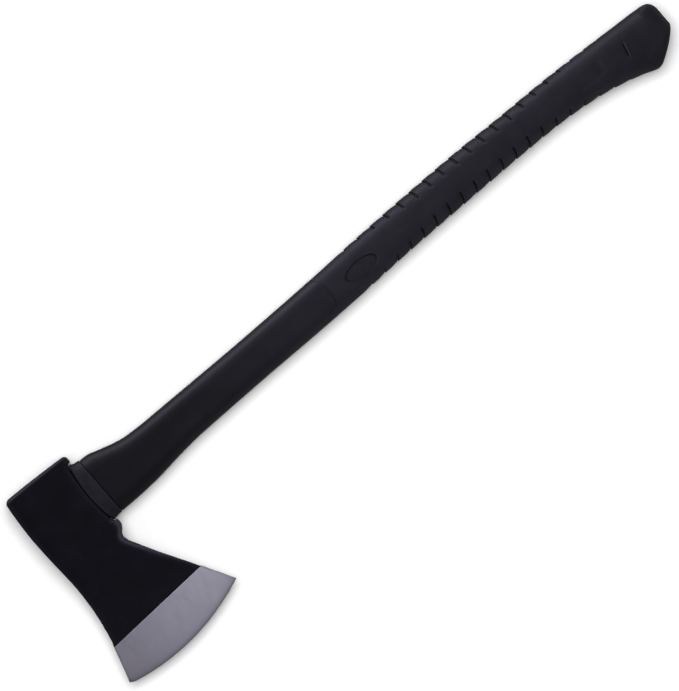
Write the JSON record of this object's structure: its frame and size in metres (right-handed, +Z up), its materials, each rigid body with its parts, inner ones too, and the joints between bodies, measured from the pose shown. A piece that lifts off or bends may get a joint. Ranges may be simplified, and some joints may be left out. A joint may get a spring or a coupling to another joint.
{
  "type": "splitting axe",
  "caption": "Single-bit axe with a flat hammer poll and a wide ground edge, on a fibreglass-cored handle with a hard jacket, a sealing collar and a ribbed rubber grip.",
  "frame": {"origin": "on the flat of the lower cheek, under the middle of the eye's length, with the axe lying on its side", "axes": "+X along the handle, from the butt towards the top of the head; +Y from the poll towards the cutting edge; +Z up, across the thickness"},
  "size_m": [0.7115, 0.1923, 0.0343],
  "materials": {
    "head_steel": "flat black paint over forged steel, with the blade ground to bare brushed steel in front of a straight line",
    "eye_epoxy": "cast epoxy, smooth and slightly glossy",
    "collar_rubber": "matte black moulded rubber",
    "core_fibreglass": "pultruded glass fibre in resin, amber, with straight fibres",
    "jacket_plastic": "black moulded plastic with a fine satin texture",
    "grip_rubber": "matte black thermoplastic rubber with moulded ribs"
  },
  "bodies": {
    "root": {"axe_head": "head_steel", "eye_resin": "eye_epoxy", "head_collar": "collar_rubber", "fibreglass_core": "core_fibreglass", "handle_jacket": "jacket_plastic", "grip_sleeve": "grip_rubber"}
  },
  "joints": []
}
